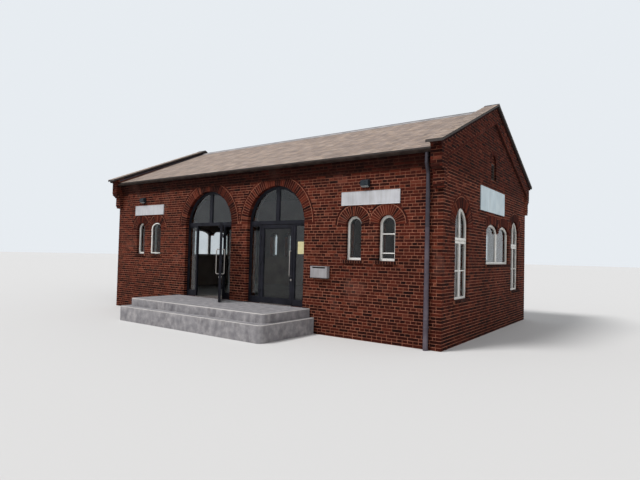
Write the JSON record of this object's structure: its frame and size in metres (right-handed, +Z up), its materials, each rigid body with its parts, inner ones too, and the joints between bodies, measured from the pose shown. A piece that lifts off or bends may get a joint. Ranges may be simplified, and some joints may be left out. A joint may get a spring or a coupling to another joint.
{
  "type": "public toilet building",
  "caption": "Small brick station building, now a public toilet, with arched portals, parapet gables on kneelers, slate roof and a concrete landing.",
  "frame": {"origin": "centre of the floor plan at the lowest ground, on the underside of the floor slab", "axes": "+X to the right along the front, +Y to the back, +Z up; the portals face -Y"},
  "size_m": [11.444, 8.91, 5.7727],
  "materials": {
    "brick": "rough",
    "slate": "matt",
    "zinc": "weathered",
    "concrete": "rough",
    "glass": "clear",
    "dark_frame": "satin",
    "steel": "brushed",
    "white_paint": "satin",
    "vent_board": "matt",
    "board": "satin",
    "lamp": "satin",
    "letterbox": "satin"
  },
  "bodies": {
    "shell": {"front_wall_left": "brick", "front_wall_right": "brick", "front_wall_pier": "brick", "front_wall_sill": "brick", "front_wall_head": "brick", "back_wall": "brick", "right_gable_wall": "brick", "left_gable_wall": "brick", "front_kneelers": "brick", "back_kneelers": "brick", "right_coping": "slate", "left_coping": "slate", "roof_front": "slate", "roof_back": "slate", "ridge_cap": "zinc", "front_cornice": "brick", "back_cornice": "brick", "front_gutter": "zinc", "back_gutter": "zinc", "front_downpipe": "zinc", "back_downpipe": "zinc", "floor_slab": "concrete", "landing_slab": "concrete", "landing_step": "concrete", "left_fanlight": "dark_frame", "right_fanlight": "dark_frame", "left_sidelights": "dark_frame", "right_sidelights": "dark_frame", "left_portal_panes": "glass", "right_portal_panes": "glass", "front_window_rims": "white_paint", "back_window_rims": "white_paint", "front_casements": "white_paint", "back_casements": "white_paint", "right_gable_frames": "white_paint", "left_gable_frames": "white_paint", "window_panes": "glass", "gable_vents": "vent_board", "front_signs": "board", "gable_sign": "board", "sign_lamps": "lamp", "letterbox": "letterbox"},
    "left_leaf": {"left_door": "dark_frame", "left_door_pane": "glass", "left_door_pulls": "steel"},
    "right_leaf": {"right_door": "dark_frame", "right_door_pane": "glass", "right_door_pulls": "steel"}
  },
  "joints": [
    {"name": "left_door_hinge", "type": "hinge", "parent": "shell", "child": "left_leaf", "pos_m": [-0.704, -3.264, 0.57], "axis": [0, 0, 1], "range_deg": [-137, 8]},
    {"name": "right_door_hinge", "type": "hinge", "parent": "shell", "child": "right_leaf", "pos_m": [0.704, -3.264, 0.57], "axis": [0, 0, -1], "range_deg": [0, 110]}
  ]
}
